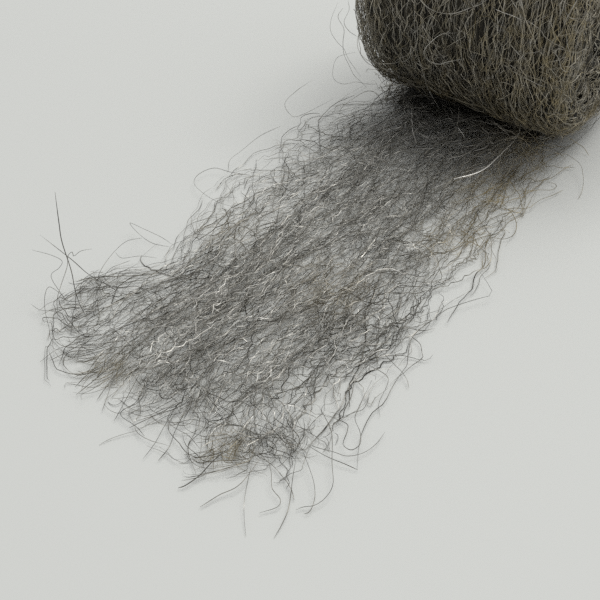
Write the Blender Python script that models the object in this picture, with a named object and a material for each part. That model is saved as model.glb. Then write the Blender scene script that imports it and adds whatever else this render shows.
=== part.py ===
"""A roll of steel wool with its outer turn pulled out flat and torn off.

One long ribbon of steel fibres makes the whole object. It starts at the middle of the roll, winds
outwards turn on turn, leaves the roll at the floor and lies flat as a tail that ends in a torn edge.
X runs along the roll's axis, the tail points to -Y, and Z is up. The origin is on the floor, straight
below the middle of the roll.
"""

import math

import bmesh
import bpy

MM = 0.001

# The roll
ROLL_RADIUS = 66 * MM  # to the outer face of the last turn
ROLL_WIDTH = 94 * MM
TURN_PITCH = 10 * MM  # from one turn to the next, along a radius
TURN_GAP = 1.1 * MM  # clearance between two turns
CORE_RADIUS = 1 * MM  # pinhole left at the middle, round which the first turn is folded shut
FIRST_TURN_RADIUS = 7.5 * MM  # to the middle of the ribbon, where it starts
SHOULDER_DROP = 6.5 * MM  # how far the last turn's edges curl in towards the axis
EDGE_WANDER = 1.6 * MM  # how far a turn's edge strays from the roll's end
LUMP_HEIGHT = 0.9 * MM  # of the soft lumps on the wound turns, on top of the roll
FLAT_SPOT = 11 * MM  # half the width of the flat on which the soft roll rests

# The tail
TAIL_LENGTH = 236 * MM  # from below the roll's axis to the middle of the torn end
TAIL_THICKNESS = 4.6 * MM  # between the bundles, where the tail comes out from under the roll
TAIL_END_THICKNESS = 3 * MM
BUNDLE_HEIGHT = 3.4 * MM  # how far the bundles stand out of the tail's upper face
LEFT_CORNER_SHORT = 25 * MM  # how much earlier than its middle the tail's left corner was torn off
RIGHT_CORNER_SHORT = 9 * MM
CORNER_START = 0.4  # share of the half width at which the tear begins to run back to a corner
TUFT_LENGTH = 5 * MM  # how far the torn tufts stand out of the tear
TUFTED_SHARE = 0.4  # the last share of the tail's length, over which its sections bend to the tear
THINNED_SHARE = 0.07  # the last share, over which the tail thins out
FRAYED_EDGE = 1.8 * MM  # how far the tail's long edges stray to either side
STRAND_RELIEF = 0.5 * MM  # height of the long strands on the tail's upper face

# How far the tail's edges stand outside the roll's ends: share of the tail's length, left, right
TAIL_SPREAD = (
    (0.00, 6 * MM, -8 * MM),
    (0.20, 15 * MM, -9 * MM),
    (0.36, 18 * MM, -6 * MM),
    (0.52, 14 * MM, -1 * MM),
    (0.68, 6 * MM, 1 * MM),
    (0.87, 4 * MM, -4 * MM),
    (0.98, 14 * MM, -7 * MM),
    (1.00, 13 * MM, -9 * MM),
)

# The bundles that the pull left thick, along the tail: place across it, half width, share of the height
BUNDLES = (
    (-22 * MM, 8 * MM, 1.0),
    (4 * MM, 9 * MM, 0.8),
    (28 * MM, 7 * MM, 0.7),
)

# Waves that make the wool uneven: the larger part of each is the first one, and the rest the second
LARGER_PART = 0.6
EDGE_WAVES = 31 * MM, 74 * MM  # lengths along the ribbon, per radian
FRAY_WAVES = 3.1 * MM, 7.7 * MM
STRAND_WAVES = 4.1 * MM, 9.7 * MM  # across the ribbon
BUNDLE_WAVES = 13 * MM, 29 * MM
LUMP_WAVES = 14 * MM, 9 * MM
LUMPS_PER_TURN = 7, 12
TUFTS_ACROSS = 11, 23  # radians over half the tear

# Section of the ribbon
TURN_EDGE_SHARE = 0.62  # thickness at the edge of a turn, as a share of the middle's
TAIL_EDGE_SHARE = 0.22
TEAR_THICKNESS_SHARE = 0.4  # thickness at the tear, as a share of the tail's end
POINTS_ACROSS = 15
TURN_STRAND_RELIEF = 0.35 * MM

# Facets
CLOSER_AT_EDGES = 0.25  # from 0, even spacing across the ribbon, to 1, that of a sine
FACET_LENGTH = 8 * MM
LEAST_FACET_ANGLE = math.radians(9)
MOST_FACET_ANGLE = math.radians(20)
LEAVING_ANGLE = math.radians(70)  # over this much of the last turn, the section changes to the tail's
SHARP_ANGLE = math.radians(35)

TURN_THICKNESS = TURN_PITCH - TURN_GAP
LAST_TURN_RADIUS = ROLL_RADIUS - TURN_THICKNESS / 2
WOUND_ANGLE = math.tau * (LAST_TURN_RADIUS - FIRST_TURN_RADIUS) / TURN_PITCH
FOLDED_SHUT = WOUND_ANGLE - math.tau + MOST_FACET_ANGLE  # the turn inside this one fills the middle
FLAT_SPOT_COSINE = math.sqrt(1 - (FLAT_SPOT / ROLL_RADIUS) ** 2)
AXIS_HEIGHT = ROLL_RADIUS * FLAT_SPOT_COSINE
ROLL_SHARE = ROLL_RADIUS / TAIL_LENGTH  # share of the tail that lies below the roll


def clear_scene():
    for old in list(bpy.data.objects):
        bpy.data.objects.remove(old)


def smooth_step(share):
    share = min(1.0, max(0.0, share))
    return share * share * (3 - 2 * share)


def mix(first, second, share):
    return first + (second - first) * share


def turn_radius(angle):
    """Radius of the ribbon's middle, for an angle wound back from the floor."""
    return LAST_TURN_RADIUS - TURN_PITCH * angle / math.tau


def flattening(angle):
    """Pulls the lowest stretch of every turn up to a chord, so that the roll has a flat spot."""
    return min(1.0, FLAT_SPOT_COSINE / max(FLAT_SPOT_COSINE, math.cos(angle)))


def spread_at(share):
    """(left, right) distances by which the tail stands outside the roll's ends."""
    for (start, *near), (stop, *far) in zip(TAIL_SPREAD, TAIL_SPREAD[1:]):
        if share <= stop:
            blend = smooth_step((share - start) / (stop - start))
            return tuple(mix(a, b, blend) for a, b in zip(near, far))
    return TAIL_SPREAD[-1][1:]


def uneven(first, second):
    """Two waves in one, from -1 to 1."""
    return mix(math.sin(second), math.sin(first), LARGER_PART)


def edge_wander(length_wound, phase):
    """A slow wave, so that the turns don't end in one plane."""
    slow, slower = EDGE_WAVES
    return EDGE_WANDER * uneven(length_wound / slow + phase, length_wound / slower + 2 * phase)


def fraying(distance, phase):
    """How far one of the tail's long edges strays, at a distance from the roll."""
    quick, slow = FRAY_WAVES
    return FRAYED_EDGE * uneven(distance / quick + phase, distance / slow - phase)


def strand_relief(place, drift):
    """Uneven height of the long strands at a place across the ribbon, from -1 to 1."""
    narrow, broad = STRAND_WAVES
    return uneven(place / narrow + drift, place / broad - 2 * drift)


def lumps(angle, place):
    """Height of the soft lumps of the wound ribbon. They nest in each other, and are flat at the floor."""
    few, many = LUMPS_PER_TURN
    broad, narrow = LUMP_WAVES
    pressed = (1 - math.cos(angle)) / 2
    return LUMP_HEIGHT * pressed * uneven(few * angle + place / broad, many * angle - place / narrow)


def bundle_height(distance, place):
    """How far the bundles lift the tail's upper face. They wander a little and swell and thin out."""
    quick, slow = BUNDLE_WAVES
    height = 0
    for middle, half_width, share in BUNDLES:
        swell = 1 + uneven(distance / quick + middle / MM, distance / slow) / 2
        away = (place - middle) / half_width
        height += share * swell * math.exp(-away * away)
    return BUNDLE_HEIGHT * height


def places_across():
    """Shares from the left edge, -1, to the right edge, 1, closer together at both edges."""
    evenly = [2 * i / (POINTS_ACROSS - 1) - 1 for i in range(POINTS_ACROSS)]
    return [mix(u, math.sin(u * math.pi / 2), CLOSER_AT_EDGES) for u in evenly]


def wound_section(angle):
    """Outer and inner points of one section of the wound ribbon."""
    radius = turn_radius(angle)
    length_wound = angle * (LAST_TURN_RADIUS + radius) / 2
    leaving = 1 - smooth_step(angle / LEAVING_ANGLE)
    spread_left, spread_right = spread_at(0.0)
    left = -ROLL_WIDTH / 2 + mix(edge_wander(length_wound, 0.0), -spread_left, leaving)
    right = ROLL_WIDTH / 2 + mix(edge_wander(length_wound, 1.9), spread_right, leaving)
    edge_share = mix(TURN_EDGE_SHARE, TAIL_EDGE_SHARE, leaving)
    outer, inner = [], []
    for u in places_across():
        x = mix(left, right, (u + 1) / 2)
        drop = SHOULDER_DROP * (1 - leaving) * u**6 * radius / LAST_TURN_RADIUS
        relief = TURN_STRAND_RELIEF * strand_relief(x, 0.0) + lumps(angle, x) * radius / LAST_TURN_RADIUS
        middle = radius - drop + relief * (1 - leaving)
        half = TURN_THICKNESS / 2 * mix(1.0, edge_share, u**4)
        # The face on the floor stays flat, so the thin edges of the leaving turn lie on it.
        lowered = leaving * (TURN_THICKNESS / 2 - half)
        inside = CORE_RADIUS if angle > FOLDED_SHUT else middle - half + lowered
        for face, reach in ((outer, middle + half + lowered), (inner, inside)):
            reach *= flattening(angle)
            face.append((x, reach * math.sin(angle), AXIS_HEIGHT - reach * math.cos(angle)))
    return outer, inner


def tear_reach(u):
    """How far the torn end reaches past the tail's length at a place across it."""
    short = LEFT_CORNER_SHORT if u < 0 else RIGHT_CORNER_SHORT
    cut_back = short * smooth_step((abs(u) - CORNER_START) / (1 - CORNER_START))
    few, many = TUFTS_ACROSS
    return TUFT_LENGTH * uneven(few * u + 1, many * u) - cut_back


def tail_section(share):
    """Lower and upper points of one section of the tail, at a share of its length."""
    spread_left, spread_right = spread_at(share)
    frayed = smooth_step(share / ROLL_SHARE)
    left = -ROLL_WIDTH / 2 - spread_left - frayed * fraying(TAIL_LENGTH * share, 0.0)
    right = ROLL_WIDTH / 2 + spread_right + frayed * fraying(TAIL_LENGTH * share, 2.0)
    bent = smooth_step((share - 1 + TUFTED_SHARE) / TUFTED_SHARE)
    tear = smooth_step((share - 1 + THINNED_SHARE) / THINNED_SHARE)
    thickness = mix(TURN_THICKNESS, mix(TAIL_THICKNESS, TAIL_END_THICKNESS, share), frayed)
    thinned = mix(1.0, TEAR_THICKNESS_SHARE, tear)
    lower, upper = [], []
    for u in places_across():
        x = mix(left, right, (u + 1) / 2)
        y = -TAIL_LENGTH * share - tear_reach(u) * bent
        relief = STRAND_RELIEF * strand_relief(x, 5 * share) + bundle_height(TAIL_LENGTH * share, x)
        height = (thickness + frayed * relief) * thinned * mix(1.0, TAIL_EDGE_SHARE, u**4)
        lower.append((x, y, 0.0))
        upper.append((x, y, height))
    return lower, upper


def wound_angles():
    """Angles of the roll's sections, from the first turn out to the floor."""
    angles, angle = [], WOUND_ANGLE
    while angle > LEAST_FACET_ANGLE / 2:
        angles.append(angle)
        step = FACET_LENGTH / turn_radius(angle)
        angle -= min(MOST_FACET_ANGLE, max(LEAST_FACET_ANGLE, step))
    return angles + [0.0]


def ribbon_sections():
    steps = max(12, round(TAIL_LENGTH / FACET_LENGTH))
    sections = [wound_section(angle) for angle in wound_angles()]
    sections += [tail_section(step / steps) for step in range(1, steps + 1)]
    return sections


def skin_between(bm, near, far):
    """Quads round the ribbon, between two of its sections."""
    (near_outer, near_inner), (far_outer, far_inner) = near, far
    near_ring = near_outer + near_inner[::-1]
    far_ring = far_outer + far_inner[::-1]
    for i, corner in enumerate(near_ring):
        after = (i + 1) % len(near_ring)
        bm.faces.new((corner, near_ring[after], far_ring[after], far_ring[i]))


def close_end(bm, section):
    """Quads that close the ribbon at one of its two ends."""
    outer, inner = section
    for i in range(len(outer) - 1):
        bm.faces.new((outer[i], outer[i + 1], inner[i + 1], inner[i]))


def steel_wool_material():
    material = bpy.data.materials.new("steel_wool")
    material.use_nodes = True
    shader = material.node_tree.nodes["Principled BSDF"]
    shader.inputs["Base Color"].default_value = (0.16, 0.157, 0.145, 1)
    shader.inputs["Roughness"].default_value = 0.6
    shader.inputs["Metallic"].default_value = 0.8
    return material


def make_steel_wool_roll():
    bm = bmesh.new()
    sections = [
        tuple([bm.verts.new(point) for point in face] for face in section)
        for section in ribbon_sections()
    ]
    for near, far in zip(sections, sections[1:]):
        skin_between(bm, near, far)
    close_end(bm, sections[0])
    close_end(bm, sections[-1])
    bmesh.ops.recalc_face_normals(bm, faces=bm.faces)
    bmesh.ops.triangulate(bm, faces=bm.faces)
    mesh = bpy.data.meshes.new("steel_wool_roll")
    bm.to_mesh(mesh)
    bm.free()
    mesh.shade_smooth()
    mesh.set_sharp_from_angle(angle=SHARP_ANGLE)
    mesh.materials.append(steel_wool_material())
    roll = bpy.data.objects.new("steel_wool_roll", mesh)
    bpy.context.scene.collection.objects.link(roll)
    return roll


clear_scene()
make_steel_wool_roll()
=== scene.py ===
# %% [markdown]
# # A roll of steel wool with its end pulled out
# Steel wool is one long ribbon of springy fibres, shaved off a steel wire and wound into a roll. Here the
# roll lies on its side, and its free end has been pulled out flat from under it and torn off. The solid
# model holds the form of the ribbon. This script dresses that form in thousands of single strands,
# because steel wool has no skin: everything that the eye sees is fibres, their gaps and their shadows.

# %% Load the solid model as a fixed frame
import math

import bpy
import numpy as np
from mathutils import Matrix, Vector
from mathutils.bvhtree import BVHTree


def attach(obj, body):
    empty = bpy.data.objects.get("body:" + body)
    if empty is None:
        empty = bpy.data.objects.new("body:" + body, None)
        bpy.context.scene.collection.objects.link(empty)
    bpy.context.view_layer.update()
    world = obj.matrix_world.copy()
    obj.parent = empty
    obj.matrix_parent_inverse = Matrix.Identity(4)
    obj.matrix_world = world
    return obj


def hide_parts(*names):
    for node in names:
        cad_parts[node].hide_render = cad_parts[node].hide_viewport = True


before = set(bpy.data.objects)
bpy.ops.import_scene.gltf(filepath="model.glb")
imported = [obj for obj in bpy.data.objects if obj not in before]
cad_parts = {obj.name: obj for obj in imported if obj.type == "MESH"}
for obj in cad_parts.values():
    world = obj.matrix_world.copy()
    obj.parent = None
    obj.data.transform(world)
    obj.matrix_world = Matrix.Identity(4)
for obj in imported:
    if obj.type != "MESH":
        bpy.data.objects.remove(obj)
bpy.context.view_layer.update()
MM = 0.001
NODE = "steel_wool_roll"

# %% [markdown]
# ## Camera
# The roll is seen from its front right and from above. The camera is given as a person would set up a
# tripod: the spot on the table that it looks at, its height above the horizon, its turn round the
# object and its distance. A square picture with a 40 degree view gives the focal length.

# %% Place the camera
AIM = Vector((4.3, -169.8, 0)) * MM
CAMERA_AZIMUTH = math.radians(34.8)
CAMERA_ELEVATION = math.radians(40)
CAMERA_DISTANCE = 288.7 * MM
FIELD_OF_VIEW = math.radians(40)

camera = bpy.data.objects.new("camera", bpy.data.cameras.new("camera"))
bpy.context.scene.collection.objects.link(camera)
bpy.context.scene.camera = camera
away = Vector((
    math.sin(CAMERA_AZIMUTH) * math.cos(CAMERA_ELEVATION),
    -math.cos(CAMERA_AZIMUTH) * math.cos(CAMERA_ELEVATION),
    math.sin(CAMERA_ELEVATION),
))
camera.location = AIM + away * CAMERA_DISTANCE
camera.rotation_euler = away.to_track_quat("Z", "Y").to_euler()
camera.data.angle = FIELD_OF_VIEW
camera.data.clip_start = 10 * MM
print("camera at, mm:", [round(c / MM, 1) for c in camera.location])

# %% Look back through a pixel of the photograph
PICTURE_SIDE = 600  # pixels


def ray_through(pixel):
    """The direction from the camera through a pixel, one unit deep."""
    right = Vector((0, 0, 1)).cross(away).normalized()
    scale = math.tan(FIELD_OF_VIEW / 2) / (PICTURE_SIDE / 2)
    across = (pixel[0] - PICTURE_SIDE / 2) * scale
    down = (pixel[1] - PICTURE_SIDE / 2) * scale
    return across * right - down * away.cross(right) - away


def seen_at(pixel, height):
    """The point that the camera sees at a pixel, on a level plane at a height above the table."""
    ray = ray_through(pixel)
    return camera.location + ray * ((height - camera.location.z) / ray.z)


print("middle of the picture, mm:", [round(c / MM, 1) for c in seen_at((300, 300), 0)])

# %% [markdown]
# ## Colours and nodes
# Colours are written as sRGB hex values, as a colour picker gives them. Shaders work in linear light, so
# one function converts them. A second function adds a shader node with its settings and its links, which
# keeps each material short enough to read as a recipe.

# %% Helpers for materials


def linear(hex_colour):
    """An sRGB hex colour as linear red, green, blue and alpha."""
    shares = [int(hex_colour[i : i + 2], 16) / 255 for i in (1, 3, 5)]
    return [c / 12.92 if c <= 0.04045 else ((c + 0.055) / 1.055) ** 2.4 for c in shares] + [1]


def add_node(tree, kind, settings=None, **sockets):
    """Adds a node. Each socket is a value, or the output socket of another node."""
    node = tree.nodes.new(kind)
    for name, value in (settings or {}).items():
        setattr(node, name, value)
    for name, value in sockets.items():
        # A name such as _0 is a socket's number, for sockets whose names are alike.
        socket = node.inputs[int(name[1:])] if name[0] == "_" else node.inputs[name.replace("_", " ")]
        if isinstance(value, bpy.types.NodeSocket):
            tree.links.new(value, socket)
        else:
            socket.default_value = value
    return node


def new_material(name):
    """A material with only its output, and that output's tree."""
    material = bpy.data.materials.new(name)
    material.use_nodes = True
    material.node_tree.nodes.clear()
    return material, material.node_tree


def finish_material(tree, shader):
    """Links a shader to the material's output."""
    output = tree.nodes.new("ShaderNodeOutputMaterial")
    tree.links.new(shader.outputs[0], output.inputs["Surface"])


print(f"#808080 is {linear('#808080')[0]:.3f} in linear light")

# %% [markdown]
# ## Shaved low-carbon steel
# Each strand is a sliver of mild steel, shaved by a toothed blade. The cut leaves three narrow, slightly
# torn sides: from a step away the strand is mid grey, and only where a side happens to face the light
# does it flash white. It is bare steel, so it is metallic and keeps the default IOR. The blade's tearing
# makes it rougher than polished steel, so its roughness runs from 0.4 to 0.66 along the strand. Damp has
# left a few rust-brown patches, which are hardly metallic.

# %% Material of the strands
TEAR_MARK = 1.2 * MM  # length of the blade's chatter marks along a strand
TEAR_DEPTH = 0.05 * MM
RUST_SPOT = 4 * MM  # size of the darker and lighter spots in a rusty patch
STEEL_TONES = ((0.0, "#1f1e1b"), (0.5, "#96948d"), (0.85, "#cac8c1"), (1.0, "#ebe9e3"))
DARK_RUST, PALE_RUST = "#8a7b58", "#bbac84"


def shaved_steel():
    """Bare steel. "shade" is a strand's tone, with painted shade and flashes, and "rust" how rusty."""
    material, tree = new_material("shaved_low_carbon_steel")
    shade = add_node(tree, "ShaderNodeAttribute", {"attribute_name": "shade"})
    steel = add_node(tree, "ShaderNodeValToRGB", Fac=shade.outputs["Fac"])
    for _ in STEEL_TONES[2:]:  # a new ramp has two stops already
        steel.color_ramp.elements.new(0.5)
    for element, (position, colour) in zip(steel.color_ramp.elements, STEEL_TONES):
        element.position = position
        element.color = linear(colour)
    place = add_node(tree, "ShaderNodeTexCoord").outputs["Object"]
    spots = add_node(tree, "ShaderNodeTexNoise", Vector=place, Scale=1 / RUST_SPOT, Detail=4.0)
    damp = add_node(tree, "ShaderNodeAttribute", {"attribute_name": "rust"})
    rust = add_node(
        tree, "ShaderNodeMath", {"operation": "MULTIPLY", "use_clamp": True},
        _0=damp.outputs["Fac"],
        _1=add_node(
            tree, "ShaderNodeMapRange", Value=spots.outputs["Fac"],
            From_Min=0.3, From_Max=0.65, To_Min=0.2, To_Max=1.0,
        ).outputs[0],
    ).outputs[0]
    brown = add_node(tree, "ShaderNodeMix", {"data_type": "RGBA"}, _0=spots.outputs["Fac"])
    brown.inputs[6].default_value = linear(DARK_RUST)
    brown.inputs[7].default_value = linear(PALE_RUST)
    colour = add_node(tree, "ShaderNodeMix", {"data_type": "RGBA"}, _0=rust)
    tree.links.new(steel.outputs["Color"], colour.inputs[6])
    tree.links.new(brown.outputs[2], colour.inputs[7])
    marks = add_node(tree, "ShaderNodeTexNoise", Vector=place, Scale=1 / TEAR_MARK, Detail=3.0)
    bright = add_node(
        tree, "ShaderNodeMapRange", Value=rust,
        From_Min=0.0, From_Max=1.0, To_Min=0.9, To_Max=0.25,
    )
    torn = add_node(
        tree, "ShaderNodeMapRange", Value=marks.outputs["Fac"],
        From_Min=0.3, From_Max=0.7, To_Min=0.4, To_Max=0.66,
    )
    bump = add_node(
        tree, "ShaderNodeBump", Height=marks.outputs["Fac"], Strength=0.4, Distance=TEAR_DEPTH
    )
    shader = add_node(
        tree, "ShaderNodeBsdfPrincipled",
        Base_Color=colour.outputs[2], Metallic=bright.outputs[0],
        Roughness=torn.outputs[0], Normal=bump.outputs[0],
    )
    finish_material(tree, shader)
    return material


strand_steel = shaved_steel()
print("material:", strand_steel.name)

# %% [markdown]
# ## The imported heart
# Deep in the roll the strands lie so close that no light comes back: the gaps between the outer strands
# look nearly black. Modelling those inner strands would cost millions of faces that nobody sees, so one
# ribbon, a little slimmer than the real one, winds through the roll and carries the same streaks. Its dark
# colour is painted shade.

# %% Material of the heart
STREAK_LENGTH = 30 * MM
STREAK_WIDTH = 0.6 * MM
STREAK_DEPTH = 0.6 * MM
# Painted shade: both streak colours are far darker than the steel, for the light that doesn't reach inside
HEART_SHADE_DARK, HEART_SHADE_LIGHT = "#141311", "#5a5549"


def steel_in_painted_shade():
    """The same steel, darkened as painted shade for the roll's inside, streaked along the ribbon."""
    material, tree = new_material("low_carbon_steel_in_painted_shade")
    ribbon_map = add_node(tree, "ShaderNodeUVMap", {"uv_map": "ribbon"}).outputs[0]
    along = add_node(
        tree, "ShaderNodeMapping", Vector=ribbon_map, Scale=(1 / STREAK_LENGTH, 1 / STREAK_WIDTH, 1)
    )
    streaks = add_node(
        tree, "ShaderNodeTexNoise", {"noise_dimensions": "2D"},
        Vector=along.outputs[0], Scale=1.0, Detail=5.0, Roughness=0.7,
    )
    colour = add_node(tree, "ShaderNodeValToRGB", Fac=streaks.outputs["Fac"])
    for stop, position, tone in zip(colour.color_ramp.elements, (0.42, 0.7), (HEART_SHADE_DARK, HEART_SHADE_LIGHT)):
        stop.position = position
        stop.color = linear(tone)
    bump = add_node(
        tree, "ShaderNodeBump", Height=streaks.outputs["Fac"], Strength=1.0, Distance=STREAK_DEPTH
    )
    shader = add_node(
        tree, "ShaderNodeBsdfPrincipled", Base_Color=colour.outputs["Color"], Metallic=0.6,
        Roughness=0.65, Normal=bump.outputs[0],
    )
    finish_material(tree, shader)
    return material


heart_painted_shade_steel = steel_in_painted_shade()
print("material:", heart_painted_shade_steel.name)

# %% [markdown]
# ## The form that the strands follow
# A strand is laid out on the ribbon as on a flat sheet, by its distance along and across, and then placed
# on the real form. On the roll the ribbon is a spiral, which loses one pitch of radius in each turn. On
# the tail it lies on the table between two ragged edges, which are read from the solid model.

# %% Sizes of the roll, from the solid model
TURN_PITCH = 10 * MM  # from one turn to the next
TURNS = 5.41
TURN_THICKNESS = 8.9 * MM
FLAT_SPOT = 11 * MM  # half the width of the flat that the roll rests on
SHOULDER = 9 * MM  # radius between the roll's outer face and its ends
SHOULDER_DROP = 6.5 * MM  # how much smaller the heart's radius is at the ends
LEAVING_ANGLE = math.radians(70)  # over this angle the last turn widens into the tail
LEAVING_SHIFT = -7 * MM  # how far the tail starts to the left of the roll's middle

solid = np.array([v.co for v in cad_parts[NODE].data.vertices])
upper_half = solid[solid[:, 2] > 70 * MM]  # here the ribbon isn't drawn aside towards the tail yet
HALF_WIDTH = (upper_half[:, 0].max() - upper_half[:, 0].min()) / 2
# The top is half a turn in from the outer end, so it is half a pitch lower than the outer radius.
rise = solid[:, 2].max() + TURN_PITCH / 2
ROLL_RADIUS = (rise**2 + FLAT_SPOT**2) / (2 * rise)
AXIS_HEIGHT = math.sqrt(ROLL_RADIUS**2 - FLAT_SPOT**2)
print(f"roll radius {ROLL_RADIUS / MM:.1f} mm, half width {HALF_WIDTH / MM:.1f} mm")


def turn_reach(angle):
    """Radius of the ribbon's outer face, at an angle wound back from the floor."""
    return ROLL_RADIUS - TURN_PITCH * angle / math.tau


def wound(angle, x, reach):
    """Points on the roll, pressed flat where it rests. Zero is straight down, a quarter turn is +Y."""
    flat = AXIS_HEIGHT / ROLL_RADIUS
    reach = reach * np.minimum(1, flat / np.maximum(flat, np.cos(angle)))
    leaving = np.clip(1 - angle / LEAVING_ANGLE, 0, 1)
    leaving = leaving**2 * (3 - 2 * leaving)  # starts and ends gently
    x = x + LEAVING_SHIFT * leaving
    x, angle, reach = np.broadcast_arrays(x, angle, reach)
    return np.stack((x, reach * np.sin(angle), AXIS_HEIGHT - reach * np.cos(angle)), -1)


# %% Edges of the tail, from the solid model
TAIL_TOP = 12 * MM  # the whole tail lies below this
TAIL_START = 20 * MM  # out from below the roll's axis: from here on, the tail is measured
TORN_PART = 200 * MM  # past this lies only the torn end
TEAR_STRIP = 6 * MM  # half the width of a strip in which the tear is measured
TEAR_STRIPS = 12
TEAR_INSET = 4 * MM  # the outermost strips lie this far inside the torn part
SLICE = 8 * MM  # from one measured width of the tail to the next
OVERLAP = 0.6  # how far a slice reaches to either side, as a share of that
NEAR_ROLL = 15 * MM  # points closer in may belong to the roll
tail_points = solid[(solid[:, 1] < -NEAR_ROLL) & (solid[:, 2] < TAIL_TOP)]
torn_side = tail_points[tail_points[:, 1] < -TORN_PART]
leftmost, rightmost = torn_side[:, 0].min() + TEAR_INSET, torn_side[:, 0].max() - TEAR_INSET
tear_places = np.linspace(leftmost, rightmost, TEAR_STRIPS)
TEAR = np.array([-tail_points[abs(tail_points[:, 0] - x) < TEAR_STRIP, 1].min() for x in tear_places])
slices = np.arange(TAIL_START, TEAR.min() - SLICE / 2, SLICE)
edges = []
for distance in slices:
    near = tail_points[abs(tail_points[:, 1] + distance) < SLICE * OVERLAP]
    edges.append((near[:, 0].min(), near[:, 0].max()))
LEFT_EDGE, RIGHT_EDGE = np.array(edges).T
print(f"tail: {len(slices)} slices, torn off {TEAR.min() / MM:.0f} to {TEAR.max() / MM:.0f} mm out")


def tail_sides(distance):
    """Middle and half width of the tail, at distances from below the roll's axis."""
    left = np.interp(distance, slices, LEFT_EDGE)
    right = np.interp(distance, slices, RIGHT_EDGE)
    return (left + right) / 2, (right - left) / 2


# %% Height of the tail, from the solid model
GRID = 4 * MM  # from one measured height to the next, both ways
LEAST_LOFT = 2.5 * MM  # the wool is nowhere thinner than this
FUZZ = 0.8 * MM  # how far the wool stands out of the solid's upper face
RAY_START = 11.5 * MM  # above the whole tail. Under the roll, a ray meets the roll's underside instead
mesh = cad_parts[NODE].data
solid_tree = BVHTree.FromPolygons([v.co for v in mesh.vertices], [p.vertices for p in mesh.polygons])
grid_out = np.arange(TAIL_START, TEAR.max() + GRID, GRID)
grid_across = np.arange(LEFT_EDGE.min(), RIGHT_EDGE.max() + GRID, GRID)


def top_of_tail(x, distance):
    """Height of the wool over the solid's upper face, or nought where there is no solid."""
    hit = solid_tree.ray_cast(Vector((x, -distance, RAY_START)), Vector((0, 0, -1)))[0]
    return hit.z + FUZZ if hit else 0


tops = np.array([[max(LEAST_LOFT, top_of_tail(x, out)) for x in grid_across] for out in grid_out])
print(f"the tail's wool is {tops.min() / MM:.1f} to {tops.max() / MM:.1f} mm high")


def loft_at(distance, x):
    """Height of the wool on the tail, blended between the four nearest points of the grid."""
    row = np.clip((distance - grid_out[0]) / GRID, 0, len(grid_out) - 1.01)
    column = np.clip((x - grid_across[0]) / GRID, 0, len(grid_across) - 1.01)
    i, j = row.astype(int), column.astype(int)
    near = tops[i, j] + (tops[i, j + 1] - tops[i, j]) * (column - j)
    far = tops[i + 1, j] + (tops[i + 1, j + 1] - tops[i + 1, j]) * (column - j)
    return near + (far - near) * (row - i)


# %% [markdown]
# ## From a path to a strand
# A strand is a thin bar of three sides, because the blade shaves it to a flat triangle, and it twists as
# it goes. The section is carried along the path from point to point, so that it never flips over. All
# strands of a piece are made in one go with arrays, which takes a second where loops would take minutes.
# Coarse wool measures 0.1 to 0.2 mm. The strands here are about twice that, so that one pixel shows them.

# %% Turn many paths into one mesh
SECTION = np.array([(0.0, 0.62), (-0.87, -0.31), (0.87, -0.31)])  # across and high, per half width
OFF_LINE = (0.31, 0.22, 0.92)  # a direction that hardly any strand starts out along
TWIST = 90  # how fast a strand usually twists, in radians per metre
END_WIDTH = 0.35  # a strand's ends, as a share of its width
TAPER = 5  # how fast it gains its width from there, over its length
CLEAR_OF_TABLE = 0.02 * MM


def unit(vectors):
    """The same directions, each of length one."""
    return vectors / np.maximum(np.linalg.norm(vectors, axis=-1, keepdims=True), 1e-12)


def carried_sides(tangents):
    """A direction square to each path at each of its points, carried along without twist."""
    side = np.cross(tangents[:, 0], OFF_LINE)
    sides = [unit(side)]
    for i in range(1, tangents.shape[1]):
        side = sides[-1] - tangents[:, i] * (sides[-1] * tangents[:, i]).sum(-1, keepdims=True)
        sides.append(unit(side))
    return np.stack(sides, 1)


def strand_faces(count, points):
    """Sides and two end caps of bars whose points are numbered bar by bar, ring by ring."""
    ring = np.arange(points - 1)[:, None] * 3
    corner = np.arange(3)[None, :]
    after = (corner + 1) % 3
    quad = np.stack((ring + corner, ring + after, ring + after + 3, ring + corner + 3), -1)
    first = np.arange(count)[:, None] * points * 3
    sides = (quad.reshape(1, -1, 4) + first[:, :, None]).reshape(-1, 4)
    caps = np.concatenate((first + (2, 1, 0), first + 3 * (points - 1) + np.arange(3)))
    return sides.tolist() + caps.tolist()


def add_piece(name, mesh, material, metres):
    """Puts a mesh in the scene, on the one body, in place of the plain solid."""
    piece = bpy.data.objects.new(name, mesh)
    bpy.context.scene.collection.objects.link(piece)
    mesh.materials.append(material)
    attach(piece, "root")
    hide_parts(NODE)
    triangles = sum(len(p.vertices) - 2 for p in mesh.polygons)
    print(f"{name}: {metres:.1f} m end to end, {triangles} triangles")
    return piece


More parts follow.
